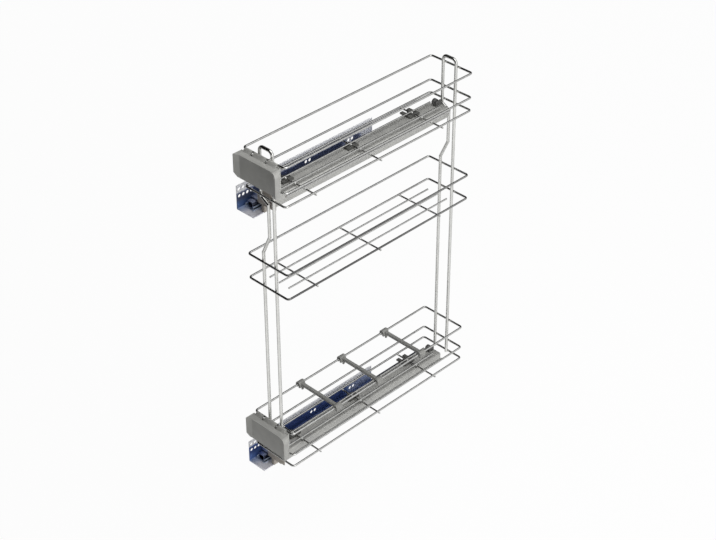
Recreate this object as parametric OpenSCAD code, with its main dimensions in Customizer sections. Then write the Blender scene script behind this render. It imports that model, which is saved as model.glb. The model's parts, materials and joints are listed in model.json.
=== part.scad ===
// Pull-out bottle rack for a 150 mm base unit, millimetres.
// X runs from the left side panel (X = 0) to the right, Y runs into the cabinet, Z is up.
// The origin is the middle of the upper rail's two fixing screws, on the side panel.
// Every module below first works in its own simple frame and is then put in place by at_*().

/* [Cabinet] */
// Clear width between the cabinet's side panels
clear_width = 118; // [112:0.5:140]
// Height between the upper and the lower running rail
unit_pitch = 551.6; // [420:0.2:900]

/* [Baskets] */
// Basket width, between the centre lines of the side wires
basket_width = 97; // [80:0.5:104]
// Basket length, between the centre lines of the front and rear wires
basket_length = 450; // [440:1:520]
// Thickness of the basket rings' wire
ring_wire = 3.8; // [3:0.1:4.4]
// Thickness of the floor and cross wires
floor_wire = 3.2; // [2.6:0.1:3.6]
// Corner radius of the rings
ring_corner = 5; // [4:0.5:12]
// Height of a rim above its floor ring, in the upper and lower basket
rim_height = 74.2; // [66:0.2:90]
// Height of the middle ring above the floor ring, in the upper and lower basket
middle_ring_height = 25.8; // [22:0.2:28]
// Drop of the middle basket's rim below the upper floor ring
middle_basket_drop = 134.1; // [125:0.1:200]
// Height of the middle basket's rim above its floor ring
middle_basket_height = 49; // [30:0.5:60]
// Spacing of the lengthways floor wires
floor_wire_spacing = 23.4; // [20:0.1:26]
// Distance of the lengthways floor wires' front ends behind the front wire
floor_wire_front = 24.4; // [16:0.2:40]
// Distance of their rear ends before the rear wire
floor_wire_rear = 28; // [27:0.5:60]
// Distance of the first cross wire behind the front wire
cross_front = 66.6; // [60:0.2:90]
// Distance of the last cross wire before the rear wire
cross_rear = 76; // [60:0.5:90]
// Overhang of the cross wires past the centre of the side wires
cross_overhang = 3.1; // [2:0.1:4]
// Gap left between wires that touch at a weld
weld_gap = 0.05; // [0.03:0.01:0.2]

/* [Posts] */
// Thickness of the upright wires
post_wire = 5.8; // [5:0.1:6.4]
// Half of the distance between the two legs of a post
post_half = 15; // [13:0.5:18]
// Bend radius at the top of a post
post_bend = 8.4; // [7:0.2:12]
// Height of a post's straight legs above the rim
post_rise = 6.5; // [2:0.5:12]
// Sideways step of a post's left leg, where it passes the upper rail
post_step = 16.9; // [14:0.1:18]

/* [Running rails] */
// Sheet thickness of the cabinet rail
rail_sheet = 1.5; // [1.2:0.1:2]
// Height of the screw row below the floor ring
screw_drop = 20.8; // [19:0.1:23]
// Distance between the two main fixing screws, a multiple of 32
screw_span = 256; // [192:32:256]
// Distance of the front fixing screw behind the basket's front wire
screw_front = 3.4; // [2:0.1:5]
// Distance between neighbouring holes of the rail's groups
hole_step = 9; // [8:0.5:12]
// Distance of the middle holes behind the front fixing screw
middle_hole = 144; // [100:1:180]
// Radius of the screw holes
screw_hole_r = 3.2; // [2.2:0.1:3.3]
// Length of the rail's upright flange
flange_length = 320.5; // [300:0.5:340]
// Width of the rail's floor, from the side panel
rail_floor = 40.7; // [39.6:0.1:41]
// Length of the channel that carries the balls
channel_length = 434; // [430:1:440]
// Diameter of the balls
ball_d = 4; // [3.6:0.1:4.2]
// Running gap around a ball
ball_gap = 0.05; // [0.03:0.01:0.1]
// Number of balls in one row
ball_count = 8; // [5:1:9]

/* [Carrier] */
// Width of the grey carrier profile
carrier_width = 37; // [34:0.5:39]
// Distance of the carrier's front end behind the front wire
carrier_front = 18.5; // [16:0.5:20]
// Distance of the carrier's rear end before the rear wire
carrier_rear = 9; // [8.5:0.5:14]
// Size of the cut at the carrier's rear left corner
carrier_cut = 15; // [10:0.5:18]
// Height of the clips between the carrier and the cross wires
clip_lift = 2.4; // [1.5:0.1:3]
// Sheet thickness of the carrier
carrier_sheet = 1.5; // [1.2:0.1:2]
// Distance of the carrier's left face from the side panel
carrier_left = 26.2; // [25.8:0.1:27]

/* [Front covers] */
// Height of the cover
cap_height = 46.5; // [43:0.5:47]
// Wall thickness of the cover
cap_wall = 2.2; // [1.6:0.1:3]
// Radius of the cover's upper right corner
cap_corner = 9; // [6:0.5:14]
// Width of the cover
cap_width = 97.7; // [90:0.1:100]
// Spacing of the door screws across the front
door_screw_x = 48; // [44:1:50]
// Spacing of the door screws in height
door_screw_z = 24; // [20:1:26]

/* [Dividers] */
// Diameter of a divider's gripping head
divider_head = 11; // [9:0.5:13]
// Length of a divider's head along the wire
divider_length = 14; // [10:0.5:18]
// Thickness of a divider's bar
divider_bar = 6; // [4:0.5:8]
// Distance of the three dividers behind the front wire
divider_places = [112.5, 219.4, 334.7];

/* [Hidden] */
$fn = 48;

cx = clear_width / 2;
ring_r = ring_wire / 2;
floor_r = floor_wire / 2;
post_r = post_wire / 2;
// Y of the front ring wires, Z of the upper floor ring
front_y = -screw_front - screw_span / 2;
upper_z = screw_drop;
lower_z = screw_drop - unit_pitch;

// heights in the frame of one running unit, where 0 is the floor ring
cross_z = -(ring_r + floor_r + weld_gap);
long_z = cross_z + floor_wire + weld_gap;
carrier_top = cross_z - floor_r - 0.1 - clip_lift;
floor_top = -43.5;
wall_t = 1.2;
axis_half = 7.75;
runner_x = 16.5;
ball_r = ball_d / 2;
race_r = ball_r + ball_gap;
bulge_r = race_r + wall_t;
base_top = floor_top + wall_t;
low_axis = base_top + 3.4;
high_axis = low_axis + 7;
middle_bottom = low_axis - 2.3;
middle_top = high_axis + 2.3;
plate_low = middle_top + 1.1;
plate_top = plate_low + wall_t;
middle_half = 6.85;
inner_half = 8.65;
outer_half = inner_half + wall_t;
carrier_low = plate_top + 0.02;
carrier_end = basket_length - carrier_rear;
carrier_right = carrier_left + carrier_width;
flange_in = carrier_left + 14.8;
channel_front = 2;
channel_end = channel_front + channel_length;
post_front_y = ring_r + post_r + 0.15;
post_rear_y = basket_length - post_front_y;
wheel_r = 6.3;
wheel_y = carrier_end - 11;
wheel_z = carrier_top + wheel_r + 0.3;
wheel_x = carrier_left + 13.8;

steel_blue = [0.35, 0.4, 0.55];
steel = [0.72, 0.73, 0.75];
chrome = [0.85, 0.85, 0.87];
grey = [0.6, 0.6, 0.58];
dark_grey = [0.44, 0.44, 0.43];
black = [0.12, 0.12, 0.12];

// Frames: the running unit's zero is the front wire's Y and the floor ring's Z
module at_upper() translate([0, front_y, upper_z]) children();
module at_lower() translate([0, front_y, lower_z]) children();
// Rim frame: zero is the rim's height
module at_upper_rim() at_upper() translate([0, 0, rim_height]) children();
module at_lower_rim() at_lower() translate([0, 0, rim_height]) children();

// A profile drawn in X and Z, run along Y from y0 to y1
module along_y(y0, y1) translate([0, y1, 0]) rotate([90, 0, 0]) linear_extrude(height = y1 - y0) children();

// A hole or pin along one axis, centred on the point p
module pin_x(p, r, l) translate([p[0] - l / 2, p[1], p[2]]) rotate([0, 90, 0]) cylinder(h = l, r = r);
module pin_y(p, r, l) translate([p[0], p[1] - l / 2, p[2]]) rotate([-90, 0, 0]) cylinder(h = l, r = r);
module pin_z(p, r, l) translate([p[0], p[1], p[2] - l / 2]) cylinder(h = l, r = r);
// A box given by its two opposite corners
module block(a, b) translate(a) cube([b[0] - a[0], b[1] - a[1], b[2] - a[2]]);

// Cabinet rail: flange on the side panel, floor, inner lip

function lower_row() = [
  screw_front - hole_step, screw_front, screw_front + hole_step, screw_front + 2 * hole_step,
  screw_front + middle_hole, screw_front + middle_hole + hole_step,
  screw_front + screw_span - hole_step, screw_front + screw_span
];

module rail_section(lip) {
  low = floor_top - rail_sheet;
  difference() {
    union() {
      translate([0, low]) square([rail_sheet, 45.7]);
      translate([0, low]) square([rail_floor, rail_sheet]);
      translate([rail_sheet, floor_top]) square([2, 2]);
      if (lip) translate([rail_floor - rail_sheet, low]) square([rail_sheet, 12]);
    }
    translate([rail_sheet + 2, floor_top + 2]) circle(r = 2);
    translate([-0.01, low - 0.01]) difference() {
      square([1.2, 1.2]);
      translate([1.2, 1.2]) circle(r = 1.2);
    }
  }
}

module cabinet_rail() {
  low = floor_top - rail_sheet;
  difference() {
    union() {
      along_y(-11.5, 14) rail_section(false);
      along_y(14, flange_length - 11.5) rail_section(true);
      block([0, flange_length - 11.5, low], [rail_floor, channel_end, floor_top]);
      block([rail_floor - rail_sheet, flange_length - 11.5, low],
            [rail_floor, channel_end, low + 12]);
    }
    for (y = lower_row()) pin_x([0, y, -screw_drop], screw_hole_r, 8);
    for (y = [screw_front - hole_step, screw_front]) pin_x([0, y, -screw_drop + 13.3], screw_hole_r, 8);
    // rear corner of the flange cut back
    translate([-1, flange_length - 11.5, 0.7]) rotate([45, 0, 0]) cube([4, 8.5, 8.5], center = true);
  }
}

// Side wall of a ball channel, drawn to the right of the runner's middle
module channel_wall(z0, z1, za) {
  difference() {
    union() {
      translate([inner_half, z0]) square([wall_t, z1 - z0]);
      intersection() {
        translate([axis_half, za]) circle(r = bulge_r);
        translate([inner_half, z0]) square([bulge_r, z1 - z0]);
      }
    }
    translate([axis_half, za]) circle(r = race_r);
  }
}

module cabinet_channel() {
  along_y(channel_front, channel_end) translate([runner_x, 0]) {
    translate([-outer_half, floor_top]) square([2 * outer_half, wall_t]);
    for (s = [0, 1]) mirror([s, 0]) channel_wall(floor_top, low_axis + 3.25, low_axis);
  }
}

module rail_buffer() {
  y1 = channel_end;
  difference() {
    block([runner_x - 6, y1 - 7, base_top], [runner_x + 6, y1, low_axis + 2.7]);
    pin_y([runner_x, y1 - 3, low_axis], 1.2, 20);
  }
}

module middle_rail() {
  y0 = channel_front + 2;
  y1 = channel_end - 8;
  along_y(y0, y1) translate([runner_x, 0]) difference() {
    translate([-middle_half, middle_bottom]) square([2 * middle_half, middle_top - middle_bottom]);
    for (sx = [-1, 1]) for (z = [low_axis, high_axis]) translate([sx * axis_half, z]) circle(r = race_r);
    difference() {
      translate([-middle_half + wall_t, middle_bottom + wall_t])
        square([2 * (middle_half - wall_t), middle_top - middle_bottom - 2 * wall_t]);
      for (sx = [-1, 1]) for (z = [low_axis, high_axis]) translate([sx * axis_half, z]) circle(r = bulge_r);
    }
  }
}

// Ball cages: a strip below or above the middle rail with two upright sides
cage_t = 0.8;
cage_length = channel_length * 0.45;
outer_cage_y = channel_front + channel_length * 0.24;
inner_cage_y = outer_cage_y + 13;
ball_pitch = (cage_length - 16) / (ball_count - 1);

module cage(y0, up) {
  axis_z = up ? low_axis : high_axis;
  far = up ? axis_z + 2.7 : axis_z - 2.7;
  near = up ? base_top + 0.25 : plate_low - 0.25;
  strip = up ? near + 0.6 : near - 0.6;
  x1 = axis_half + cage_t / 2;
  difference() {
    union() {
      block([runner_x - x1, y0, min(near, strip)], [runner_x + x1, y0 + cage_length, max(near, strip)]);
      for (s = [-1, 1]) block([runner_x + s * axis_half - cage_t / 2, y0, min(near, far)],
                              [runner_x + s * axis_half + cage_t / 2, y0 + cage_length, max(near, far)]);
    }
    for (i = [0 : ball_count - 1]) pin_x([runner_x, y0 + 8 + i * ball_pitch, axis_z], ball_r + 0.1, 40);
  }
}

module balls(y0, up) {
  axis_z = up ? low_axis : high_axis;
  for (s = [-1, 1])
    for (i = [0 : ball_count - 1])
      translate([runner_x + s * axis_half, y0 + 8 + i * ball_pitch, axis_z]) sphere(r = ball_r);
}

// Drawer channel, with the wing that the carrier stands on
module drawer_channel() {
  y0 = carrier_front - 4.5;
  difference() {
    along_y(y0, channel_end) union() {
      translate([runner_x, 0]) for (s = [0, 1]) mirror([s, 0])
        channel_wall(high_axis - 3.25, plate_top, high_axis);
      translate([runner_x - outer_half, plate_low]) square([flange_in - runner_x + outer_half, wall_t]);
    }
    for (y = joint_screws()) pin_z([joint_x(), y, plate_low], 1.65, 10);
    for (y = rivet_places()) pin_z([joint_x(), y, plate_low], 2.05, 10);
  }
}

function joint_x() = carrier_left + 8;
function joint_screws() = [carrier_front + 9.5, carrier_front + 27.5];
function rivet_places() = [for (k = [0.25, 0.46, 0.69, 0.92]) channel_front + k * channel_length];

module carrier_section() {
  r = 2.5;
  w = carrier_width;
  t = carrier_sheet;
  h = carrier_top - carrier_low;
  difference() {
    translate([carrier_left, carrier_low]) square([w, h]);
    translate([carrier_left + t, carrier_low + t]) square([w - 2 * t, h - 2 * t]);
    translate([flange_in, carrier_low - 1]) square([carrier_right - 4 - flange_in, 4]);
    for (s = [-1, 1])
    translate([s > 0 ? carrier_right - r : carrier_left + r, carrier_top - r]) difference() {
      translate([s > 0 ? 0 : -r - 1, 0]) square([r + 1, r + 1]);
      circle(r = r);
    }
  }
}

module carrier() {
  difference() {
    along_y(carrier_front, carrier_end) carrier_section();
    for (y = joint_screws()) pin_z([joint_x(), y, carrier_low], 2.2, 8);
    for (y = rivet_places()) pin_z([joint_x(), y, carrier_low], 2.05, 8);
    // rear left corner cut off
    translate([carrier_left, carrier_end, carrier_low]) rotate([0, 0, 45])
      cube([carrier_cut * sqrt(2), carrier_cut * sqrt(2), 80], center = true);
    // slot for the ear that holds the wheel
    block([wheel_x + 3.3, wheel_y - 3.7, carrier_top - 3], [wheel_x + 5.9, carrier_end + 1, carrier_top + 1]);
  }
}

// Front bracket: end plate that rises behind the post, side plate and the tab screwed down inside
// the carrier
module front_bracket() {
  xs = flange_in + 0.3;
  low = floor_top + 0.5;
  top = carrier_top - carrier_sheet - 0.3;
  tab = carrier_low + carrier_sheet + 0.02;
  difference() {
    union() {
      block([xs, 11, low], [xs + 2, 54, top]);
      block([xs - 4.4, 11, low], [xs + 2, 13, carrier_low - 2]);
      block([carrier_left + 1, 11, carrier_low - 2], [carrier_right - 1, 13, top]);
      block([cx - 22, 11, carrier_low], [cx + 11.5, 13, 6]);
      block([carrier_left + 1.8, 20, tab], [xs + 2, 54, tab + 2]);
      block([carrier_left + 4, 12.5, tab], [xs + 2, 20.5, tab + 2]);
    }
    for (y = joint_screws()) pin_z([joint_x(), y, tab], 2.2, 10);
    pin_y([carrier_right - 10, 12, carrier_top - 9], 3, 10);
  }
}

module bracket_screws() {
  tab = carrier_low + carrier_sheet + 0.02;
  for (y = joint_screws()) difference() {
    union() {
      translate([joint_x(), y, plate_low - 0.6]) cylinder(h = tab + 2.3 - plate_low + 0.6, r = 1.6);
      translate([joint_x(), y, tab + 2.02]) cylinder(h = 2.2, r = 3.6);
    }
    translate([joint_x(), y, tab + 3.6]) linear_extrude(height = 2) union() {
      square([4.4, 1], center = true);
      square([1, 4.4], center = true);
    }
  }
}

module rivets() {
  t1 = carrier_low + carrier_sheet;
  for (y = rivet_places()) {
    translate([joint_x(), y, plate_low - 1]) cylinder(h = t1 + 1.2 - plate_low, r = 2);
    translate([joint_x(), y, t1 + 0.02]) cylinder(h = 1.2, r = 3.4);
    translate([joint_x(), y, plate_low - 1.02]) cylinder(h = 1, r = 3.2);
  }
}

// Black clips that hold the cross wires on the carrier
function cross_places() = [
  cross_front, (cross_front + basket_length - cross_rear) / 2, basket_length - cross_rear
];

module wire_clip(y, ear) {
  x0 = carrier_left + 1.6;
  low = carrier_top + 0.02;
  difference() {
    union() {
      block([x0, y - 12, low], [x0 + 16, y + 12, low + clip_lift - 0.2]);
      block([x0, y - 4.4, low], [x0 + 16, y + 4.4, low + clip_lift + 2.8]);
      for (s = [-1, 1])
        block([x0 + 6.4, y + s * 8 - 4.4, low], [x0 + 16, y + s * 8 + 4.4, low + clip_lift + 1.6]);
      if (ear) for (s = [-1, 1]) {
        block([x0 - 9.6, y + s * 8.5 - 3.6, low + 0.4], [x0 + 1, y + s * 8.5 + 3.6, low + 3.6]);
        block([x0 - 4.2, y + s * 8.5 - 3.6, low - 5], [x0 - 1.9, y + s * 8.5 + 3.6, low + 1]);
      }
    }
    pin_x([x0, y, cross_z], floor_r + 0.06, 60);
  }
}

module wire_clips() {
  wire_clip(cross_places()[0], false);
  wire_clip(cross_places()[1], false);
  wire_clip(cross_places()[2], true);
}

// End cap of the carrier, with the ear and pin of the adjusting wheel
module rear_cap() {
  t = carrier_sheet + 0.2;
  z0 = carrier_low + carrier_sheet + 0.2;
  z1 = carrier_top - t;
  x0 = carrier_left;
  x1 = carrier_right;
  y1 = carrier_end;
  c = carrier_cut;
  union() {
    translate([0, 0, z0]) linear_extrude(height = z1 - z0) polygon([
      [x0 + t, y1 - c + t - 1.4], [x0 + t, y1 - c + t + 0.6], [x0 + c + 0.2, y1 + 0.8],
      [x1 - t, y1 + 0.8], [x1 - t, y1 - 1], [x0 + c + 0.4, y1 - 1]
    ]);
    block([wheel_x + 3.5, wheel_y - 3.5, z0], [wheel_x + 5.7, y1 - 0.5, wheel_z + 3]);
    pin_x([wheel_x + 0.4, wheel_y, wheel_z], 1.5, 8);
  }
}

module thumb_wheel() {
  translate([wheel_x, wheel_y, wheel_z]) rotate([0, 90, 0]) difference() {
    translate([0, 0, -3]) cylinder(h = 6, r = wheel_r);
    translate([0, 0, -4]) cylinder(h = 8, r = 1.55);
    for (i = [0 : 11]) rotate([0, 0, 30 * i]) translate([wheel_r + 0.35, 0, -4]) cylinder(h = 8, r = 0.9);
    for (s = [-1, 1]) translate([0, 0, s * 3]) difference() {
      cylinder(h = 2, r = 4.9, center = true);
      cylinder(h = 3, r = 2.8, center = true);
    }
  }
}

// Door plate and front cover, drawn in the rim frame
plate_back = -ring_r - 0.2;
plate_front = plate_back - 2;
cap_notches = [cx - 22.5, cx + 11.5];
cam_x = 33;
cap_left = cx + 0.85 - cap_width / 2;

module door_plate() {
  tab_low = -(rim_height - middle_ring_height) - ring_r;
  difference() {
    union() {
      block([cx - 41.5, plate_front, 1 - cap_height], [cx + 41.5, plate_back, -0.6]);
      block([cx - 30, plate_front, tab_low], [cx + 30, plate_back, -cap_height / 2]);
    }
    for (sx = [-1, 1]) for (sz = [-1, 1])
      pin_y([cx + sx * door_screw_x / 2, plate_back, -24 + sz * door_screw_z / 2], 2.3, 12);
    for (sx = [-1, 1]) pin_y([cx + sx * cam_x, plate_back, -24], 4.05, 12);
    for (x = cap_notches) block([x - 2.5, plate_front - 1, -2.4], [x + 2.5, plate_back + 1, 1]);
  }
}

// Outline of the cover seen from the front
module cap_outline(g) {
  x0 = cap_left + g;
  x1 = cap_left + cap_width - g;
  top = -ring_r - 0.3 - g;
  low = -cap_height + g;
  r = cap_corner - g;
  difference() {
    polygon([
      [x0, top], [x1, top], [x1, low - 1.5], [x1 - 12, low],
      [x0 + 10, low], [x0 + 6, low + 2.4], [x0 + 2, low + 8.8], [x0, low + 10.5]
    ]);
    translate([x1 - r, top - r]) difference() {
      square([r + 1, r + 1]);
      circle(r = r);
    }
  }
}

// Outline of the cover seen from above: the ends stand forward of the middle
module cap_plan(g) {
  x0 = cap_left + g;
  x1 = cap_left + cap_width - g;
  back = plate_front - 0.2;
  polygon(concat(
    [[x0, g > 0 ? 2 : back], [x0, -24.5 + g], [x0 + 1.6, -24.7 + g], [x0 + 10, -19.3 + g],
     [x1 - 15, -19.3 + g], [x1, -22.5 + g], [x1, -12.5 - 0.4 * g], [x1 - 8 - 0.4 * g, back]],
    g > 0 ? [[x1 - 8 - 0.4 * g, 2]] : []));
}

module cap_body(g) {
  intersection() {
    translate([0, cap_height, 0]) rotate([90, 0, 0]) linear_extrude(height = 2 * cap_height) cap_outline(g);
    translate([0, 0, -2 * cap_height]) linear_extrude(height = 3 * cap_height) cap_plan(g);
  }
}

// Ridge of the cover that reaches over the door plate and the front wire, drawn in Y and Z
module cap_ridge() {
  polygon([
    [plate_front - 3.9, -ring_r - 1.3], [plate_front - 3.9, -ring_r - 0.3], [plate_front - 1.1, 1],
    [plate_back - 1.1, ring_r + 0.9], [-0.3, ring_r + 0.9], [-0.3, ring_r + 0.12],
    [plate_back + 0.05, ring_r + 0.12], [plate_back + 0.05, -0.45], [plate_front - 0.2, -0.45],
    [plate_front - 0.2, -ring_r - 1.3]
  ]);
}

module front_cap() {
  depth = 2 * (cap_wall - 0.8);
  difference() {
    union() {
      cap_body(0);
      translate([cx - 42, 0, 0]) rotate([90, 0, 90]) linear_extrude(height = 76) cap_ridge();
    }
    cap_body(cap_wall);
    for (x = cap_notches) block([x - 2.5, plate_front - 4, -6], [x + 2.5, 0.5, 5]);
    // thin places where the door's screws are driven through
    for (sx = [-1, 1]) for (sz = [-1, 1])
      pin_y([cx + sx * door_screw_x / 2, cap_wall - 19.3, -24 + sz * door_screw_z / 2], 3.2, depth);
  }
}

// Adjusting cam: disc behind the plate, journal in the plate, eccentric pin in front of it
module cam(s) {
  c = [cx + s * cam_x, 0, -24];
  difference() {
    union() {
      pin_y([c[0], plate_back + 1.6, c[2]], 6.3, 3);
      pin_y([c[0], (plate_back + plate_front) / 2, c[2]], 4, 3);
      pin_y([c[0], plate_front - 0.9, c[2]], 5, 1.2);
      pin_y([c[0] + 1.4, plate_front - 3, c[2]], 2, 4);
    }
    block([c[0] - 4, plate_back + 1.6, c[2] - 0.6], [c[0] + 4, plate_back + 4, c[2] + 0.6]);
    block([c[0] - 0.6, plate_back + 1.6, c[2] - 4], [c[0] + 0.6, plate_back + 4, c[2] + 4]);
  }
}

// Wire parts

// Straight wire between two points given as [x, z]
module rod(a, b, d) {
  v = b - a;
  translate([a[0], 0, a[1]]) rotate([0, atan2(v[0], v[1]), 0]) cylinder(h = norm(v), d = d);
}

module ring(z) {
  w = basket_width / 2;
  l = basket_length;
  c = ring_corner;
  translate([cx, 0, z]) {
    for (s = [-1, 1]) translate([s * w, c, 0]) rotate([-90, 0, 0]) cylinder(h = l - 2 * c, d = ring_wire);
    for (y = [0, l]) translate([-w + c, y, 0]) rotate([0, 90, 0]) cylinder(h = 2 * (w - c), d = ring_wire);
    for (a = [0 : 3]) {
      sx = (a == 0 || a == 3) ? 1 : -1;
      y = a < 2 ? l - c : c;
      translate([sx * (w - c), y, 0]) rotate([0, 0, 90 * a])
        rotate_extrude(angle = 90) translate([c, 0]) circle(d = ring_wire);
    }
  }
}

module floor_wires() {
  for (i = [-1, 0, 1])
    translate([cx + i * floor_wire_spacing, floor_wire_front, long_z]) rotate([-90, 0, 0])
      cylinder(h = basket_length - floor_wire_front - floor_wire_rear, d = floor_wire);
}

module cross_wires() {
  for (y = cross_places())
    translate([cx - basket_width / 2 - cross_overhang, y, cross_z]) rotate([0, 90, 0])
      cylinder(h = basket_width + 2 * cross_overhang, d = floor_wire);
}

// One upright, zero at the lower end of its rounded top: straight right leg,
// left leg that steps aside where it passes the upper rail, with a round knuckle at each bend
module post() {
  below = rim_height + post_rise;
  foot = -unit_pitch - below;
  h = post_half;
  c = post_half - post_bend;
  side = -h + post_step;
  levels = [foot, -118 - below, -80.5 - below, -16.5 - below, -7 - below, 0];
  pts = [for (i = [0 : 5]) [i == 2 || i == 3 ? side : -h, levels[i]]];
  translate([cx, 0, 0]) {
    for (i = [0 : 4]) rod(pts[i], pts[i + 1], post_wire);
    for (i = [1 : 4]) translate([pts[i][0], 0, pts[i][1]]) sphere(d = post_wire + 0.2);
    translate([h, 0, foot]) cylinder(h = -foot, d = post_wire);
    for (s = [-1, 1]) translate([s * c, 0, 0]) rotate([90, 0, 0]) rotate([0, 0, s > 0 ? 0 : 90])
      rotate_extrude(angle = 90) translate([post_bend, 0]) circle(d = post_wire);
    translate([-c, 0, post_bend]) rotate([0, 90, 0]) cylinder(h = 2 * c, d = post_wire);
  }
}

// Divider, drawn in the rim frame: bar, two heads that grip the rim wires
module divider(y) {
  w = basket_width / 2;
  r = divider_head / 2;
  b = divider_bar;
  l = divider_length;
  translate([cx, y, 0]) difference() {
    union() {
      block([-w + 2, -b / 2, -b / 2], [w - 2, b / 2, b / 2]);
      for (s = [-1, 1]) {
        pin_y([s * w, 0, 0], r, l);
        block([s * w - r, -l / 2, -r - 1], [s * w + r, l / 2, 0]);
        block([s * (w - r) - 1.5, -2, -r - 6], [s * (w - r) + 1.5, 2, 0]);
      }
    }
    for (s = [-1, 1]) {
      pin_y([s * w, 0, 0], ring_r + 0.08, 3 * l);
      block([s * w - ring_r + 0.3, -l, -r - 3], [s * w + ring_r - 0.3, l, 0]);
    }
  }
}

// Nodes

module upper_cabinet_rail() color(steel_blue) at_upper() cabinet_rail();
module lower_cabinet_rail() color(steel_blue) at_lower() cabinet_rail();
module upper_cabinet_channel() color(steel_blue) at_upper() cabinet_channel();
module lower_cabinet_channel() color(steel_blue) at_lower() cabinet_channel();
module upper_rail_buffer() color(black) at_upper() rail_buffer();
module lower_rail_buffer() color(black) at_lower() rail_buffer();
module upper_middle_rail() color(steel) at_upper() middle_rail();
module lower_middle_rail() color(steel) at_lower() middle_rail();
module upper_outer_cage() color(steel) at_upper() cage(outer_cage_y, true);
module upper_outer_balls() color(chrome) at_upper() balls(outer_cage_y, true);
module upper_inner_cage() color(steel) at_upper() cage(inner_cage_y, false);
module upper_inner_balls() color(chrome) at_upper() balls(inner_cage_y, false);
module lower_outer_cage() color(steel) at_lower() cage(outer_cage_y, true);
module lower_outer_balls() color(chrome) at_lower() balls(outer_cage_y, true);
module lower_inner_cage() color(steel) at_lower() cage(inner_cage_y, false);
module lower_inner_balls() color(chrome) at_lower() balls(inner_cage_y, false);
module upper_drawer_channel() color(steel) at_upper() drawer_channel();
module lower_drawer_channel() color(steel) at_lower() drawer_channel();
module upper_carrier() color(grey) at_upper() carrier();
module lower_carrier() color(grey) at_lower() carrier();
module upper_front_bracket() color(grey) at_upper() front_bracket();
module lower_front_bracket() color(grey) at_lower() front_bracket();
module upper_bracket_screws() color(steel) at_upper() bracket_screws();
module lower_bracket_screws() color(steel) at_lower() bracket_screws();
module upper_rivets() color(steel) at_upper() rivets();
module lower_rivets() color(steel) at_lower() rivets();
module upper_wire_clips() color(black) at_upper() wire_clips();
module lower_wire_clips() color(black) at_lower() wire_clips();
module upper_rear_cap() color(dark_grey) at_upper() rear_cap();
module lower_rear_cap() color(dark_grey) at_lower() rear_cap();
module upper_thumb_wheel() color(black) at_upper() thumb_wheel();
module lower_thumb_wheel() color(black) at_lower() thumb_wheel();
module upper_door_plate() color(grey) at_upper_rim() door_plate();
module lower_door_plate() color(grey) at_lower_rim() door_plate();
module upper_front_cap() color(dark_grey) at_upper_rim() front_cap();
module lower_front_cap() color(dark_grey) at_lower_rim() front_cap();
module upper_left_cam() color(steel) at_upper_rim() cam(-1);
module upper_right_cam() color(steel) at_upper_rim() cam(1);
module lower_left_cam() color(steel) at_lower_rim() cam(-1);
module lower_right_cam() color(steel) at_lower_rim() cam(1);
module front_post() color(steel) at_upper_rim() translate([0, post_front_y, post_rise]) post();
module rear_post() color(steel) at_upper_rim() translate([0, post_rear_y, post_rise]) post();

module upper_rings() color(chrome) at_upper() for (z = [0, middle_ring_height, rim_height]) ring(z);
module upper_floor_wires() color(chrome) at_upper() floor_wires();
module upper_cross_wires() color(chrome) at_upper() cross_wires();
middle_z = -middle_basket_drop - middle_basket_height;
module middle_rings() color(chrome) at_upper() for (z = [middle_z, -middle_basket_drop]) ring(z);
module middle_floor_wires() color(chrome) at_upper() translate([0, 0, middle_z]) floor_wires();
module middle_cross_wires() color(chrome) at_upper() translate([0, 0, middle_z]) cross_wires();
module lower_rings() color(chrome) at_lower() for (z = [0, middle_ring_height, rim_height]) ring(z);
module lower_floor_wires() color(chrome) at_lower() floor_wires();
module lower_cross_wires() color(chrome) at_lower() cross_wires();
module front_divider() color(grey) at_lower_rim() divider(divider_places[0]);
module middle_divider() color(grey) at_lower_rim() divider(divider_places[1]);
module rear_divider() color(grey) at_lower_rim() divider(divider_places[2]);

upper_cabinet_rail();
lower_cabinet_rail();
upper_cabinet_channel();
lower_cabinet_channel();
upper_rail_buffer();
lower_rail_buffer();
upper_middle_rail();
lower_middle_rail();
upper_outer_cage();
upper_outer_balls();
upper_inner_cage();
upper_inner_balls();
lower_outer_cage();
lower_outer_balls();
lower_inner_cage();
lower_inner_balls();
upper_drawer_channel();
lower_drawer_channel();
upper_carrier();
lower_carrier();
upper_front_bracket();
lower_front_bracket();
upper_bracket_screws();
lower_bracket_screws();
upper_rivets();
lower_rivets();
upper_wire_clips();
lower_wire_clips();
upper_rear_cap();
lower_rear_cap();
upper_thumb_wheel();
lower_thumb_wheel();
upper_door_plate();
lower_door_plate();
upper_front_cap();
lower_front_cap();
upper_left_cam();
upper_right_cam();
lower_left_cam();
lower_right_cam();
front_post();
rear_post();
upper_rings();
upper_floor_wires();
upper_cross_wires();
middle_rings();
middle_floor_wires();
middle_cross_wires();
lower_rings();
lower_floor_wires();
lower_cross_wires();
front_divider();
middle_divider();
rear_divider();
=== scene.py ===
# %% [markdown]
# # A pull-out bottle rack, dressed for its picture
# The rack hangs on two ball-bearing runners inside a narrow kitchen base unit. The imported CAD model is
# loaded first and stays where it is: every wire, rail and cover already has its place in metres.
# Here it gets finishes, soft edges and the small things that a drawing leaves out.

# %% Load the frame
import json
import bmesh
import bpy
from math import cos, pi, radians
from mathutils import Matrix, Vector


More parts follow.
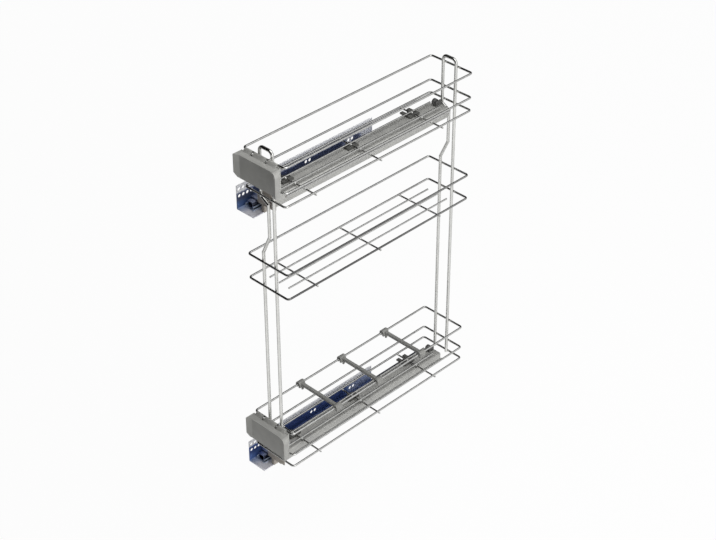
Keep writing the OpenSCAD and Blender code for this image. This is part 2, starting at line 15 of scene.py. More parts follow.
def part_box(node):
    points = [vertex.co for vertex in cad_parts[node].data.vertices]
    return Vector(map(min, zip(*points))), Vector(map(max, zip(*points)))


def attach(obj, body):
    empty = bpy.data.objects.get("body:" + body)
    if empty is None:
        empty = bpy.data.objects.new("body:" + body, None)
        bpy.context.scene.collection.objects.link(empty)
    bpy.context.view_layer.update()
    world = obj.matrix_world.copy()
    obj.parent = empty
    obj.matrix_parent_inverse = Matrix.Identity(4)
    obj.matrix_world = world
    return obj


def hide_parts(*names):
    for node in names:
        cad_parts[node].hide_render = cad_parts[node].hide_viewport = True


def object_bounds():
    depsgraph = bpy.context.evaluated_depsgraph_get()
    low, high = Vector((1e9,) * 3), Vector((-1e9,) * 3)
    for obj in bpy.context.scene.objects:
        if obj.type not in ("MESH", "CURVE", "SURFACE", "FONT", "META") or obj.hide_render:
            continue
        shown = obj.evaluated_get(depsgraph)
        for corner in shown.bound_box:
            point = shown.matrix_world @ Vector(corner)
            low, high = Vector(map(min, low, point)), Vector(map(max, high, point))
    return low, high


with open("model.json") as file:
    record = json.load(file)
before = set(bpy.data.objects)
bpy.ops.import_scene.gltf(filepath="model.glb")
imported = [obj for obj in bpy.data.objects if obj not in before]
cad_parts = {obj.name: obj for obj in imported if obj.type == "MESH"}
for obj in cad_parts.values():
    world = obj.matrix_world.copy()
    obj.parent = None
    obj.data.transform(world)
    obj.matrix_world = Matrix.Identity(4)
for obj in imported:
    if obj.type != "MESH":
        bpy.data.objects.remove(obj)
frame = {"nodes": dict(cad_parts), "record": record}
CAD_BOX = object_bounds()
NODES = frame["nodes"]
RECORD = frame["record"]
MM = 0.001
BODY_OF = {node: body for body, nodes in RECORD["behaviour"]["bodies"].items() for node in nodes}
SLOT_OF = {part["node"]: part["material_slot"] for part in RECORD["subparts"]}

# %% [markdown]
# ## The camera
# The picture was taken from the front right and from above. Its place was worked out from the wires:
# parallel wires meet at vanishing points, and these give the direction and the focal length.
# A camera could be aimed by hand, but wires as thin as a pencil line show every small error.

# %% Camera
PICTURE_WIDTH = 716
FOCAL_PIXELS = 1703.95
CAMERA_PLACE = Vector((1.82215, -1.69785, 1.50542))
CAMERA_TURN = radians(44.706)
CAMERA_DIP = radians(34.704)
CAMERA_ROLL = radians(-0.1035)

camera_data = bpy.data.cameras.new("camera")
camera_data.lens = camera_data.sensor_width * FOCAL_PIXELS / PICTURE_WIDTH
camera = bpy.data.objects.new("camera", camera_data)
bpy.context.scene.collection.objects.link(camera)
camera.matrix_world = (
    Matrix.Translation(CAMERA_PLACE)
    @ Matrix.Rotation(CAMERA_TURN, 4, "Z")
    @ Matrix.Rotation(pi / 2 - CAMERA_DIP, 4, "X")
    @ Matrix.Rotation(CAMERA_ROLL, 4, "Z")
)
bpy.context.scene.camera = camera
print("lens", round(camera_data.lens, 2), "mm")

# %% [markdown]
# ## Helpers for materials
# A material is a small chain of nodes. One function makes a node, sets its values and joins its inputs,
# so that each finish below reads as a list of what it does. Colours are written as they look on a
# screen and turned to the linear values that the renderer counts with.

# %% Nodes and colours
def linear(code):
    """The linear colour of a hex code, with alpha."""
    parts = [int(code[i:i + 2], 16) / 255 for i in (1, 3, 5)]
    return [c / 12.92 if c <= 0.04045 else ((c + 0.055) / 1.055) ** 2.4 for c in parts] + [1.0]


def add(tree, kind, settings=None, links=None):
    """A node with its settings and links; a key is an input's name or number, or else a property."""
    made = tree.nodes.new(kind)
    for key, value in (settings or {}).items():
        if isinstance(key, int) or key in made.inputs:
            made.inputs[key].default_value = value
        else:
            setattr(made, key, value)
    for key, source in (links or {}).items():
        tree.links.new(source, made.inputs[key])
    return made


def start(name):
    """An empty material with its surface shader and Object coordinates."""
    made = bpy.data.materials.new(name)
    made.use_nodes = True
    tree = made.node_tree
    tree.nodes.clear()
    surface = add(tree, "ShaderNodeBsdfPrincipled")
    add(tree, "ShaderNodeOutputMaterial", links={"Surface": surface.outputs["BSDF"]})
    place = add(tree, "ShaderNodeTexCoord").outputs["Object"]
    return made, tree, surface, place


print("white is", linear("#ffffff"))

# %% [markdown]
# Real surfaces are never one flat colour. So two more helpers let the tone and the roughness drift
# together in patches of a real size, and give the surface a fine relief. A picture of the surface
# could do the same, but a pattern that is worked out in place has no seams and no limit in detail.

# %% Patches and grain
TONE_FROM, TONE_TO = 0.35, 0.65
NOISE_FROM, NOISE_TO = 0.3, 0.7


def per_metre(size_mm):
    """A texture scale that repeats about once in this many millimetres."""
    return 1 / (size_mm * MM)


def rub(tree, surface, source, smooth, rough):
    """Roughness that follows a noise between two values."""
    spread = add(tree, "ShaderNodeMapRange",
                 {"From Min": NOISE_FROM, "From Max": NOISE_TO, "To Min": smooth, "To Max": rough},
                 {"Value": source})
    tree.links.new(spread.outputs["Result"], surface.inputs["Roughness"])


def grain(tree, surface, place, size_mm, height_mm, strength):
    """Fine relief of a real grain size and height."""
    noise = add(tree, "ShaderNodeTexNoise", {"Scale": per_metre(size_mm), "Detail": 2.0}, {"Vector": place})
    bump = add(tree, "ShaderNodeBump", {"Strength": strength, "Distance": height_mm * MM},
               {"Height": noise.outputs["Fac"]})
    tree.links.new(bump.outputs["Normal"], surface.inputs["Normal"])


def patchy(name, metallic, low, high, patch_mm, smooth, rough):
    """A material whose colour and roughness drift together between two tones."""
    made, tree, surface, place = start(name)
    surface.inputs["Metallic"].default_value = metallic
    noise = add(tree, "ShaderNodeTexNoise", {"Scale": per_metre(patch_mm), "Detail": 4.0}, {"Vector": place})
    ramp = add(tree, "ShaderNodeValToRGB", links={"Fac": noise.outputs["Fac"]})
    for stop, position, code in zip(ramp.color_ramp.elements, (TONE_FROM, TONE_TO), (low, high)):
        stop.position = position
        stop.color = linear(code)
    tree.links.new(ramp.outputs["Color"], surface.inputs["Base Color"])
    rub(tree, surface, noise.outputs["Fac"], smooth, rough)
    return made, tree, surface, place


MATERIALS = {}
print("a 9 mm patch has the scale", round(per_metre(9), 1))

# %% [markdown]
# ## Bright chrome
# The baskets are steel wire, welded, then plated with nickel and a thin skin of chrome. Chrome takes
# its tones from the room, so the shader is a plain polished metal and the studio does the rest. Wire
# that was drawn and plated is never a perfect mirror, so a slow waviness and a little haze are added.

# %% Chrome wire
# The waves left by drawing are longer than the wire is thick, and a hundredth of a millimetre high.
DRAWN_WAVES = {"size_mm": 9, "height_mm": 0.01, "strength": 0.4}


def chrome_wire(name):
    """Drawn wire, nickel and chrome plated: a slightly hazy mirror, dark and light by turns."""
    made, tree, surface, place = patchy(name, 1.0, "#ccccca", "#d6d6d4", patch_mm=9, smooth=0.12, rough=0.2)
    grain(tree, surface, place, **DRAWN_WAVES)
    return made, tree, surface, place


MATERIALS["chrome_wire"] = chrome_wire("bright_chrome_on_drawn_wire")[0]
print("finish", MATERIALS["chrome_wire"].name)

# %% [markdown]
# The two posts are thicker wire, and look lighter and less sharp than the baskets, so they are taken as
# the same plating with a satin surface. A second colour node could tint the first material, but a
# finish of its own is easier to match.

# %% Chrome posts
def post_steel():
    """Bent wire with satin chrome: pale, with soft reflections."""
    made, tree, surface, place = patchy("satin_chrome_on_bent_wire", 1.0, "#d6d6d3", "#e2e2df",
                                        patch_mm=14, smooth=0.2, rough=0.3)
    grain(tree, surface, place, **DRAWN_WAVES)
    return made


MATERIALS["post_steel"] = post_steel()
print("finish", MATERIALS["post_steel"].name)

# %% [markdown]
# ## Blue zinc
# The cabinet rails are cold-rolled sheet with a blue-passivated zinc coat. The photo shows it pale along the
# top of the flange and on the floor, a deep blue below the upper hole row and a lighter slate blue at the
# flange's lower end. Towards the rear it fades, but on the upper rail one blue patch lies behind the last
# holes. A film that drained while it dried would look like this, and so would a sheet that mirrors a dark
# room; the photo doesn't tell which. Here the pale tone is a painted reflection of a bright room and the
# deep blue is painted shade, both laid into the colour, so they look the same from every side. The face at
# the cabinet can't be seen there, and is kept paler by guess. The colour follows the height against the
# basket's lowest ring, and its edge is stirred by noise. A film shader exists, but it would turn green and
# gold where the sheet bends away. The helper below builds such a place from soft edges: it is strong only
# where all of them are, as with strips of masking tape.

# %% A mask from edges
def mask(tree, *edges):
    """The product of soft edges, each a source, where it starts and ends, and its values there."""
    whole = None
    for source, start_at, end_at, before, after in edges:
        edge = add(tree, "ShaderNodeMapRange",
                   {"From Min": start_at, "From Max": end_at, "To Min": before, "To Max": after},
                   {"Value": source}).outputs["Result"]
        if whole:
            edge = add(tree, "ShaderNodeMath", {"operation": "MULTIPLY"}, {0: whole, 1: edge}).outputs[0]
        whole = edge
    return whole


UNIT_LEVEL = {"upper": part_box("upper_rings")[0].z, "lower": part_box("lower_rings")[0].z}
print("heights are counted from", {unit: round(level, 4) for unit, level in UNIT_LEVEL.items()})

# %% [markdown]
# The places below are measured on the rail: heights from the basket's lowest ring, depths from the middle
# between the rail's two main screws, and widths from the cabinet's side. Where the painted shade lies could
# be painted by hand, but a rule from a few measures fits both rails and follows a new size.

# %% Where the painted shade lies
SHADE_DEPTH = 3.5 * MM                        # the height over which the painted shade deepens
STIR_SIZE, STIR_SHIFT = 24, 5 * MM            # its edge wanders by this much, in waves of about 24 mm
SLATE_FROM, SLATE_TO = -25 * MM, -31 * MM     # where the lighter slate blue begins, towards the flange's foot
FADE_FROM, FADE_TO = 100 * MM, 116 * MM       # where the painted shade fades out towards the rear
PATCH_DROP = 2 * MM                           # the patch starts this much below the painted shade's edge
PATCH_FRONT = (124 * MM, 129 * MM)            # where the patch begins
PATCH_REAR = (152 * MM, 142 * MM)             # and where it ends, from outside to inside
WALL_FACE, OPEN_FACE = 0.2 * MM, 1.2 * MM     # the flange's two faces
WALL_SHADE = 0.35                              # how much painted shade is left on the face at the cabinet
FLANGE_EDGE = 3 * MM                          # up to here it is the flange, beyond it the floor
FLOOR_FROM, FLOOR_TO = 4 * MM, 20 * MM        # the floor turns from a bluish painted shade to a nearly white painted reflection


def shade_masks(tree, across, along, height, level, shade_top, rear_shade, patch_shade):
    """How deep the painted shade is, and where the lighter slate blue lies, from 0 to 1."""
    top = level + shade_top
    # Painted shade below its top edge, fading out towards the rear.
    shade_below = mask(tree, (height, top, top - SHADE_DEPTH, 0, 1), (along, FADE_FROM, FADE_TO, 1, rear_shade))
    patch = mask(tree, (along, *PATCH_FRONT, 0, patch_shade), (along, *PATCH_REAR, 0, 1),
                 (height, top - PATCH_DROP, top - 2 * PATCH_DROP, 0, 1))
    # The face at the cabinet keeps less of the painted shade.
    at_wall = (across, WALL_FACE, OPEN_FACE, WALL_SHADE, 1)
    deeper_shade = add(tree, "ShaderNodeMath", {"operation": "MAXIMUM"}, {0: shade_below, 1: patch}).outputs[0]
    shade = mask(tree, (deeper_shade, 0, 1, 0, 1), at_wall)
    slate_foot = mask(tree, (height, level + SLATE_FROM, level + SLATE_TO, 0, 1), at_wall)
    return shade, slate_foot


print("the film thickens over", SHADE_DEPTH / MM, "mm")

# %% [markdown]
# The depth of the painted shade picks a tone from a ramp: the pale painted reflection, then a middle blue,
# then the deep painted shade. The lighter slate blue near the flange's foot is laid over it, and the floor
# of the rail takes two pale tones of its own: a bluish painted shade next to the flange and a nearly white
# painted reflection beyond. Where the painted shade is deep, the surface also shines a little more like
# metal. The painted reflection and shade differ on the upper and the lower rail, so each has its own tones;
# one material for both would be shorter, and wrong for one of them.

# %% Blue zinc
# The nearly white tone is a painted reflection of a bright room.
PALE_REFLECTION = "#fafbff"
TAIL_AT = 0.4
# The floor's two tones: a bluish painted shade next to the flange, a nearly white painted reflection beyond.
FLOOR_SHADE_AND_LIGHT = ("#a3b3d2", "#f6f6ff")
# The flange is a little more metallic where its painted shade is deep.
PALE_SHINE, DEEP_SHADE_SHINE = 0.05, 0.45


def zinc_blue(unit, shade_top, deep, tail, slate, rear_shade, patch_shade):
    """Blue-passivated zinc on sheet: a milky painted reflection above, a dull dark blue painted shade below.
    """
    made, tree, surface, place = start(unit + "_blue_zinc_with_painted_shade")
    parts = add(tree, "ShaderNodeSeparateXYZ", links={"Vector": place}).outputs
    stir = add(tree, "ShaderNodeTexNoise", {"Scale": per_metre(STIR_SIZE), "Detail": 3.0},
               {"Vector": place}).outputs["Fac"]
    shift = mask(tree, (stir, 0, 1, -STIR_SHIFT, STIR_SHIFT))
    height = add(tree, "ShaderNodeMath", {"operation": "ADD"}, {0: parts["Z"], 1: shift}).outputs[0]
    shade, slate_foot = shade_masks(tree, parts["X"], parts["Y"], height, UNIT_LEVEL[unit],
                             shade_top, rear_shade, patch_shade)
    # The ramp runs from the painted reflection to the deep painted shade.
    ramp = add(tree, "ShaderNodeValToRGB", links={"Fac": shade})
    ramp.color_ramp.elements[0].color = linear(PALE_REFLECTION)
    ramp.color_ramp.elements[1].color = linear(deep)
    ramp.color_ramp.elements.new(TAIL_AT).color = linear(tail)
    flange = add(tree, "ShaderNodeMix", {"data_type": "RGBA", 7: linear(slate)},
                 {0: slate_foot, 6: ramp.outputs["Color"]})
    floor = add(tree, "ShaderNodeMix",
                {"data_type": "RGBA", 6: linear(FLOOR_SHADE_AND_LIGHT[0]), 7: linear(FLOOR_SHADE_AND_LIGHT[1])},
                {0: mask(tree, (parts["X"], FLOOR_FROM, FLOOR_TO, 0, 1))})
    on_flange = mask(tree, (parts["X"], FLANGE_EDGE, FLANGE_EDGE / 2, 0, 1))
    sheet = add(tree, "ShaderNodeMix", {"data_type": "RGBA"},
                {0: on_flange, 6: floor.outputs[2], 7: flange.outputs[2]})
    tree.links.new(sheet.outputs[2], surface.inputs["Base Color"])
    shade_on_flange = add(tree, "ShaderNodeMath", {"operation": "MULTIPLY"}, {0: shade, 1: on_flange}).outputs[0]
    tree.links.new(mask(tree, (shade_on_flange, 0, 1, PALE_SHINE, DEEP_SHADE_SHINE)), surface.inputs["Metallic"])
    rub(tree, surface, stir, smooth=0.32, rough=0.45)
    grain(tree, surface, place, size_mm=2.2, height_mm=0.012, strength=0.6)
    return made


# Each rail has its own painted shade: deep and middle blue, slate, and how much stays at the rear and in the
# patch.
BLUE_ZINC = {
    "upper": zinc_blue("upper", -12 * MM, "#565f7c", "#a0a8c4", "#566f9f", rear_shade=0.05, patch_shade=0.85),
    "lower": zinc_blue("lower", -9 * MM, "#4b62a0", "#7f97cc", "#5f7bb8", rear_shade=0.3, patch_shade=0.0),
}
print("finishes", [made.name for made in BLUE_ZINC.values()])

# %% [markdown]
# ## Darker chrome at the right front
# In the photo the right-hand wires of the middle basket are much darker than the others, most of all near
# the front. They are the ones that hands take hold of, so the chrome may have lost its gloss, or it may only
# mirror something dark; the photo doesn't tell. Here the chrome's own colour is made darker there, towards
# the right and the front, and stays so from every side. The same finish with one more mix of colours does
# it; a second wire in another steel would need a seam.

# %% Darker chrome at the right front
DARKER_RIGHT_EDGE = 8 * MM
REAR_DARKENING = 0.5


def darker_right_chrome():
    """Chromed wire, taken as dulled by hands: a darker grey towards the right and the front."""
    made, tree, surface, place = chrome_wire("chrome_wire_darker_at_right_front")
    bright = surface.inputs["Base Color"].links[0].from_socket
    low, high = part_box("middle_rings")
    middle = (low + high) / 2
    parts = add(tree, "ShaderNodeSeparateXYZ", links={"Vector": place}).outputs
    # The colour turns to a darker grey towards the right and the front.
    darker_right = mask(tree, (parts["X"], middle.x, high.x - DARKER_RIGHT_EDGE, 0, 1),
                (parts["Y"], middle.y, high.y, 1, REAR_DARKENING))
    darkened = add(tree, "ShaderNodeMix", {"data_type": "RGBA", 7: linear("#7c7c7b")}, {0: darker_right, 6: bright})
    tree.links.new(darkened.outputs[2], surface.inputs["Base Color"])
    return made


DARKER_RIGHT_CHROME = darker_right_chrome()
print("finish", DARKER_RIGHT_CHROME.name)

# %% [markdown]
# ## Bright zinc, balls and screws
# The moving runner profiles are bright zinc: greyer than the rails, with a broken shine. The fixed ball
# channel is pale blue zinc, but its outer side is nearly black in the photo, as it stands in shade, so that
# side is given a nearly black painted shade. Old grease with dust in it would look so, and is the guess
# made here; a deep shadow would too. The balls are ground and polished, the hardest mirror on the rack. All
# of them could share one grey metal, but they lie side by side, and the eye tells them apart by their
# sheen.

# %% Bright zinc, balls and screws
# Where the painted shade on the channel's outer side begins and where it is full.
SHADE_SIDE_FROM, SHADE_SIDE_TO = 0.6 * MM, 0.3 * MM


def zinc_steel():
    """Rolled profile with bright zinc: bluish grey, with a soft, broken shine."""
    made, tree, surface, place = patchy("bright_zinc_on_rolled_profile", 1.0, "#7d88a6", "#a9b0c4",
                                        patch_mm=30, smooth=0.22, rough=0.38)
    grain(tree, surface, place, size_mm=1.8, height_mm=0.01, strength=0.6)
    return made


def shaded_side_zinc():
    """Pale zinc channel with painted shade: nearly black on the outer side, pale elsewhere."""
    made, tree, surface, place = patchy("zinc_ball_channel_painted_shade", 0.2, "#b2c2da", "#ccd8ea",
                                        patch_mm=12, smooth=0.25, rough=0.4)
    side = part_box("upper_cabinet_channel")[1].x
    across = add(tree, "ShaderNodeSeparateXYZ", links={"Vector": place}).outputs["X"]
    side_shade = mask(tree, (across, side - SHADE_SIDE_FROM, side - SHADE_SIDE_TO, 0, 1))
    bare_zinc = surface.inputs["Base Color"].links[0].from_socket
    # The outer side is painted nearly black as shade.
    shaded_zinc = add(tree, "ShaderNodeMix", {"data_type": "RGBA", 7: linear("#1d2733")}, {0: side_shade, 6: bare_zinc})
    tree.links.new(shaded_zinc.outputs[2], surface.inputs["Base Color"])
    grain(tree, surface, place, size_mm=1.8, height_mm=0.01, strength=0.6)
    return made


def screw_steel():
    """Zinc plated screws: a neutral grey with a dull shine."""
    made, tree, surface, place = patchy("zinc_plated_screw_steel", 1.0, "#9b9da2", "#bfc1c6",
                                        patch_mm=4, smooth=0.25, rough=0.42)
    grain(tree, surface, place, size_mm=0.8, height_mm=0.01, strength=0.6)
    return made


def ball_steel():
    """Ground and polished bearing steel: a clean, sharp mirror."""
    return patchy("ground_bearing_steel", 1.0, "#c9c9cb", "#dcdcde", patch_mm=3, smooth=0.04, rough=0.1)[0]


MATERIALS["zinc_steel"] = zinc_steel()
SHADED_SIDE_ZINC = shaded_side_zinc()
MATERIALS["ball_steel"] = ball_steel()
MATERIALS["screw_steel"] = screw_steel()
print("materials", sorted(MATERIALS))

# %% [markdown]
# ## Powder coat
# The carriers are sheet steel with a silver-grey powder coat. The powder melts into a skin with a
# faint orange-peel relief and fine aluminium flakes, so it is half paint and half metal. The front
# brackets carry the same coat in a warmer grey. Plain paint would look chalky beside the wires.

# %% Powder coats
def powder_coat(name, low, high):
    """Powder melted on sheet steel: an even grey with a low, wide highlight and a fine orange peel."""
    made, tree, surface, place = patchy(name, 0.25, low, high, patch_mm=26, smooth=0.42, rough=0.56)
    grain(tree, surface, place, size_mm=1.4, height_mm=0.03, strength=0.5)
    return made


MATERIALS["grey_paint"] = powder_coat("silver_grey_powder_coat", "#b6b6b3", "#c3c3bf")
MATERIALS["bracket_steel"] = powder_coat("warm_grey_powder_coat", "#aaa39a", "#b9b2a8")
print("materials", sorted(MATERIALS))

# %% [markdown]
# ## Moulded plastic
# The covers are ABS from a spark-eroded mould, which leaves a dull, even grain of about half a
# millimetre. The clips, wheels and dividers are polyamide and acetal, smoother and with a soft sheen.
# The grain is drawn a little coarser than it is, or it would vanish between the pixels.

# %% Moulded plastics
PLASTIC_IOR = 1.53
SMOOTHER, ROUGHER = 0.05, 0.07


def moulded(name, low, high, rough, grain_mm, height_mm):
    """Plastic or rubber from a mould: an even tone with the mould's grain and a dull sheen."""
    made, tree, surface, place = patchy(name, 0.0, low, high, patch_mm=18,
                                        smooth=rough - SMOOTHER, rough=rough + ROUGHER)
    surface.inputs["IOR"].default_value = PLASTIC_IOR
    grain(tree, surface, place, grain_mm, height_mm, strength=0.6)
    return made


MATERIALS["cover_plastic"] = moulded("dark_grey_abs_spark_grain", "#a9a9a5", "#b2b2ae", 0.55, 0.9, 0.05)
MATERIALS["divider_plastic"] = moulded("grey_polyamide", "#8b8b88", "#989894", 0.4, 1.2, 0.02)
MATERIALS["dark_plastic"] = moulded("anthracite_polyamide", "#4a4a49", "#555554", 0.42, 1.0, 0.02)
MATERIALS["wheel_plastic"] = moulded("black_acetal", "#5a5a59", "#676766", 0.35, 1.0, 0.02)
MATERIALS["black_plastic"] = moulded("black_polyamide", "#50504e", "#666663", 0.4, 1.0, 0.02)
MATERIALS["rubber"] = moulded("black_buffer_rubber", "#232323", "#2e2e2e", 0.75, 0.7, 0.04)
print("materials", len(MATERIALS))

# %% [markdown]
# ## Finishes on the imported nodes
# Each node of the frame names the material that it is made of, so one small rule hands out nearly all
# the finishes. Only the rails, the fixed channels and the middle rings have a finish of their own.
# Setting them by hand would take 54 lines and forget one.

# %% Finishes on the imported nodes
def finish_of(node):
    """The material that a node is finished with."""
    if node.endswith("cabinet_channel"):
        return SHADED_SIDE_ZINC
    if node == "middle_rings":
        return DARKER_RIGHT_CHROME
    if SLOT_OF[node] == "zinc_blue":
        return BLUE_ZINC[node.split("_")[0]]
    return MATERIALS[SLOT_OF[node]]


for node, part in NODES.items():
    for material_slot in part.material_slots:
        material_slot.material = finish_of(node)
print("finished", len(NODES), "nodes")

# %% [markdown]
# ## Soft edges
# No real edge is sharp: moulded plastic leaves its tool with a radius of about half a millimetre, and
# powder coat rounds sheared sheet. The drawing has knife edges, which catch no light. A Bevel modifier on
# the node would do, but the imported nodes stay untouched, so each piece is a welded copy of its node,
# with the flat faces joined up first and then a small bevel on every edge that turns by 30 degrees.

# %% Soft edges
WELD_WITHIN = 0.002 * MM
FLAT_WITHIN = radians(0.5)
SHARP_FROM = radians(30)
SHADE_SHARP_FROM = radians(40)


def softened(node, radius_mm):
    """A copy of a node with rounded edges, which stands for it."""
    shape = bmesh.new()
    shape.from_mesh(NODES[node].data)
    bmesh.ops.remove_doubles(shape, verts=shape.verts, dist=WELD_WITHIN)
    bmesh.ops.dissolve_limit(shape, angle_limit=FLAT_WITHIN, verts=shape.verts, edges=shape.edges)
    sharp = [e for e in shape.edges if len(e.link_faces) == 2 and e.calc_face_angle(0) > SHARP_FROM]
    bmesh.ops.bevel(shape, geom=sharp, offset=radius_mm * MM, segments=2, profile=0.5, affect="EDGES",
                    clamp_overlap=True, material=-1)
    mesh = bpy.data.meshes.new(node + "_soft")
    shape.to_mesh(mesh)
    shape.free()
    mesh.materials.clear()
    mesh.materials.append(finish_of(node))
    for face in mesh.polygons:
        face.use_smooth = True
    mesh.set_sharp_from_angle(angle=SHADE_SHARP_FROM)
    made = bpy.data.objects.new(node + "_soft", mesh)
    bpy.context.scene.collection.objects.link(made)
    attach(made, BODY_OF[node])
    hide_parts(node)
    print(made.name, len(mesh.polygons), "faces")


UNIT_EDGES = {"front_cap": 0.6, "door_plate": 0.3, "front_bracket": 0.4, "rear_cap": 0.3,
              "wire_clips": 0.4, "thumb_wheel": 0.3, "carrier": 0.6, "cabinet_rail": 0.3}
DIVIDER_EDGE = 0.6
for unit in ("upper", "lower"):
    for part, radius in UNIT_EDGES.items():
        softened(unit + "_" + part, radius)
for divider in ("front_divider", "middle_divider", "rear_divider"):
    softened(divider, DIVIDER_EDGE)

# %% [markdown]
# ## Welds
# Where two wires cross, a resistance welder presses and melts them together and leaves a small swollen bead,
# and the plating covers it all. A torn fillet could be sculpted, but a bead of half a wire's thickness is
# what the eye sees, so each is a low icosphere, stretched along the cross wire, squashed between the two
# wires and smoothed. The beads are coloured a dull whitish grey, a painted highlight for the light they
# catch at the crossings.

# %% Weld beads
BEAD = 2.6 * MM
BEAD_STRETCH = (2.4, 1.4, 0.75)


def weld_highlight():
    """A weld bead: a whitish, dull painted highlight, without a clear reflection."""
    # The whitish tone is a painted highlight where the crossings catch light.
    made, tree, surface, place = patchy("weld_bead_painted_highlight", 0.35, "#e6e6e4", "#f2f2f0",
                                        patch_mm=3, smooth=0.35, rough=0.5)
    grain(tree, surface, place, size_mm=1.0, height_mm=0.03, strength=0.6)
    return made


WELD_HIGHLIGHT = weld_highlight()


def weld_beads(name, places, body):
    """One piece with a squashed bead at each place."""
    shape = bmesh.new()
    for centre in places:
        made = bmesh.ops.create_icosphere(shape, subdivisions=2, radius=BEAD / 2)
        bmesh.ops.scale(shape, vec=BEAD_STRETCH, verts=made["verts"])
        bmesh.ops.translate(shape, vec=centre, verts=made["verts"])
    mesh = bpy.data.meshes.new(name)
    shape.to_mesh(mesh)
    shape.free()
    mesh.materials.append(WELD_HIGHLIGHT)
    for face in mesh.polygons:
        face.use_smooth = True
    made = bpy.data.objects.new(name, mesh)
    bpy.context.scene.collection.objects.link(made)
    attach(made, body)


print("finish", WELD_HIGHLIGHT.name)

# %% [markdown]
# The wires' crossings are read from the model, so that every bead sits where its wires really meet.
# A node holds several wires as separate solids: a walk from point to point along the edges finds each
# one, and its lowest and highest corners give its place. Typed places would go wrong with the next size.

# %% Where the wires cross
def shells(node):
    """The separate solids of a node, each as its lowest and highest corner."""
    shape = bmesh.new()
    shape.from_mesh(NODES[node].data)
    bmesh.ops.remove_doubles(shape, verts=shape.verts, dist=WELD_WITHIN)
    left = set(shape.verts)
    boxes = []
    while left:
        reach = [left.pop()]
        low, high = reach[0].co.copy(), reach[0].co.copy()
        while reach:
            at = reach.pop()
            low = Vector(map(min, low, at.co))
            high = Vector(map(max, high, at.co))
            for edge in at.link_edges:
                other = edge.other_vert(at)
                if other in left:
                    left.remove(other)
                    reach.append(other)
        boxes.append((low, high))
    shape.free()
    return sorted(boxes, key=lambda b: tuple(b[0] + b[1]))


for basket in ("upper", "middle", "lower"):
    floor_ring = min(shells(basket + "_rings"), key=lambda b: b[0].z)
    ring_r = (floor_ring[1].z - floor_ring[0].z) / 2
    crossed = [(a.x + b.x) / 2 for a, b in shells(basket + "_floor_wires")]
    crossed += [floor_ring[0].x + ring_r, floor_ring[1].x - ring_r]
    places = [Vector((x, (low.y + high.y) / 2, high.z))
              for low, high in shells(basket + "_cross_wires") for x in crossed]
    weld_beads(basket + "_weld_beads", places, "rack")
    print(basket, len(places), "welds")

# %% [markdown]
# ## The studio
# The rack stands over white paper in a white room. Chrome and zinc need something dark to reflect, as
# in any product studio, so a black cloth hangs at the front left, out of the picture, and the walls
# look much duller in a mirror than they are. The paper, too, is white in a mirror only where it lies
# towards the right front; there the posts see it. A real studio can't do that last part, because it
# goes by the kind of ray. The camera sees the paper nearly pure white, and the small rest is real
# paper, which keeps the rack's faint shadow. Brighter lamps would also whiten the paper, but they
# would wash out the greys of the rack.

# %% Floor and cloth
LOW, HIGH = CAD_BOX
CENTRE = (LOW + HIGH) / 2
FLOOR_DROP = 160 * MM
FLOOR_SIZE = (40, 40)
FLOOR_PLACE = Vector((CENTRE.x, CENTRE.y, LOW.z - FLOOR_DROP))
UP = Vector((0, 0, 1))
SEEN_WHITE = 0.95
# A ray's Incoming points back along it, so this is a ray that leaves for the right front.
MIRRORED_WAY = (-0.707, 0.707, 0)
MIRRORED_FROM, MIRRORED_TO = 0.2, 0.5
MIRRORED_DARK = 0.06
CLOTH_SIZE = (3.4, 3.0)
CLOTH_PLACE = CENTRE + Vector((-0.85, -1.15, 0.8))


def flat_sheet(name, size, place, facing, material):
    """A large plain sheet that looks towards a point."""
    mesh = bpy.data.meshes.new(name)
    shape = bmesh.new()
    bmesh.ops.create_grid(shape, x_segments=1, y_segments=1, size=0.5)
    bmesh.ops.scale(shape, vec=(size[0], size[1], 1), verts=shape.verts)
    turn = (facing - place).to_track_quat("Z", "Y").to_matrix().to_4x4()
    bmesh.ops.transform(shape, matrix=Matrix.Translation(place) @ turn, verts=shape.verts)
    shape.to_mesh(mesh)
    shape.free()
    made = bpy.data.objects.new(name, mesh)
    made.data.materials.append(material)
    bpy.context.scene.collection.objects.link(made)
    return made


def white_floor():
    """Matt white paper: shaded where light falls on it, plain white where the camera looks at it."""
    made = bpy.data.materials.new("white_paper_floor")
    made.use_nodes = True
    tree = made.node_tree
    tree.nodes.clear()
    paper = add(tree, "ShaderNodeBsdfDiffuse", {"Color": linear("#f2f2f2")})
    glow = add(tree, "ShaderNodeEmission", {"Color": linear("#ffffff"), "Strength": 1.0})
    path = add(tree, "ShaderNodeLightPath")
    towards = add(tree, "ShaderNodeVectorMath", {"operation": "DOT_PRODUCT", 1: MIRRORED_WAY},
                  {0: add(tree, "ShaderNodeNewGeometry").outputs["Incoming"]}).outputs["Value"]
    mirrored = mask(tree, (path.outputs["Is Glossy Ray"], 0, 1, 0, 1),
                    (towards, MIRRORED_FROM, MIRRORED_TO, MIRRORED_DARK, 1))
    seen = add(tree, "ShaderNodeMath", {"operation": "MAXIMUM"},
               {0: path.outputs["Is Camera Ray"], 1: mirrored})
    part = add(tree, "ShaderNodeMath", {"operation": "MULTIPLY", 1: SEEN_WHITE}, {0: seen.outputs[0]})
    mix = add(tree, "ShaderNodeMixShader",
              links={0: part.outputs[0], 1: paper.outputs[0], 2: glow.outputs[0]})
    add(tree, "ShaderNodeOutputMaterial", links={"Surface": mix.outputs[0]})
    return made


def cloth(name, code):
    """Matt cloth, the same dark tone from every side."""
    made = bpy.data.materials.new(name)
    made.use_nodes = True
    tree = made.node_tree
    tree.nodes.clear()
    weave = add(tree, "ShaderNodeBsdfDiffuse", {"Color": linear(code)})
    add(tree, "ShaderNodeOutputMaterial", links={"Surface": weave.outputs[0]})
    return made


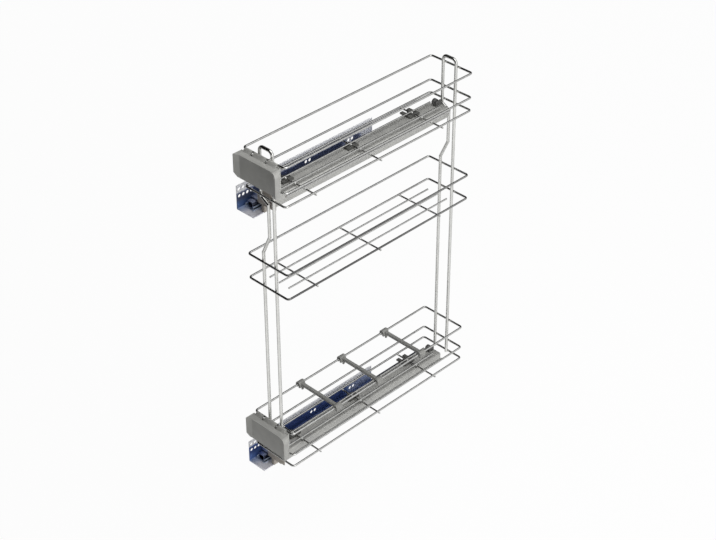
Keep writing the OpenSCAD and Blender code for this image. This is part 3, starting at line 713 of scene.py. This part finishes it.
flat_sheet("floor", FLOOR_SIZE, FLOOR_PLACE, FLOOR_PLACE + UP, white_floor())
black_cloth = flat_sheet("black_cloth", CLOTH_SIZE, CLOTH_PLACE, CENTRE, cloth("black_velvet", "#060606"))
black_cloth.visible_camera = False
print("floor", round(FLOOR_PLACE.z / MM), "mm")

# %% [markdown]
# ## Lamps
# Two large soft boxes light the rack: one overhead, a little to the right, which gives tops and floors
# their tone, and one at the right, which lights the long sides. Small lamps would be simpler, but
# every wire would carry hard bright points.

# %% Lamps
def softbox(name, place, size, power):
    """A square lamp that looks at the rack's middle."""
    data = bpy.data.lights.new(name, "AREA")
    data.shape = "SQUARE"
    data.size = size
    data.energy = power
    made = bpy.data.objects.new(name, data)
    turn = (CENTRE - place).to_track_quat("-Z", "Y").to_matrix().to_4x4()
    made.matrix_world = Matrix.Translation(place) @ turn
    bpy.context.scene.collection.objects.link(made)
    return made


# Each lamp: its place from the rack's middle and its width, in metres, and its power in watts.
LAMPS = {"overhead_softbox": ((0.7, 0.1, 2.2), 1.8, 21),
         "right_softbox": ((2.3, 0.2, 0.9), 1.6, 18)}
for name, (away, size, power) in LAMPS.items():
    lamp = softbox(name, CENTRE + Vector(away), size, power)
    print(lamp.name, power, "W")

# %% [markdown]
# ## The room
# The room fills the shadows with even light. To the camera it is pure white, and in a mirror nearly
# black, but for one bright panel at the right back and above, with a soft rim. The lengthways wires
# catch it along their middle, as a thin white line. A lamp there would also light the greys, so the
# panel is a part of the room that shows in mirrors alone.

# %% Room
ROOM_LIGHT = 0.55
ROOM_SHEEN = 0.06
PANEL_SHEEN = 1.0
PANEL_WAY = (0.578, 0.585, 0.569)
PANEL_RIM, PANEL_FULL = radians(29), radians(19)

room = bpy.data.worlds.new("white_room")
bpy.context.scene.world = room
room.use_nodes = True
sky = room.node_tree
sky.nodes.clear()
path = add(sky, "ShaderNodeLightPath")
seen = add(sky, "ShaderNodeMath", {"operation": "MAXIMUM"},
           {0: path.outputs["Is Camera Ray"], 1: path.outputs["Is Transmission Ray"]})
towards = add(sky, "ShaderNodeVectorMath", {"operation": "DOT_PRODUCT", 1: PANEL_WAY},
              {0: add(sky, "ShaderNodeTexCoord").outputs["Generated"]}).outputs["Value"]
panel = mask(sky, (towards, cos(PANEL_RIM), cos(PANEL_FULL), ROOM_SHEEN, PANEL_SHEEN))
indirect = add(sky, "ShaderNodeMapRange", {"To Min": ROOM_LIGHT},
               {"Value": path.outputs["Is Glossy Ray"], "To Max": panel})
level = add(sky, "ShaderNodeMapRange", {"To Max": 1.0},
            {"Value": seen.outputs[0], "To Min": indirect.outputs["Result"]})
walls = add(sky, "ShaderNodeBackground", {"Color": linear("#ffffff")}, {"Strength": level.outputs["Result"]})
add(sky, "ShaderNodeOutputWorld", links={"Surface": walls.outputs[0]})
bpy.context.scene.view_settings.view_transform = "Standard"
print("room light", ROOM_LIGHT)
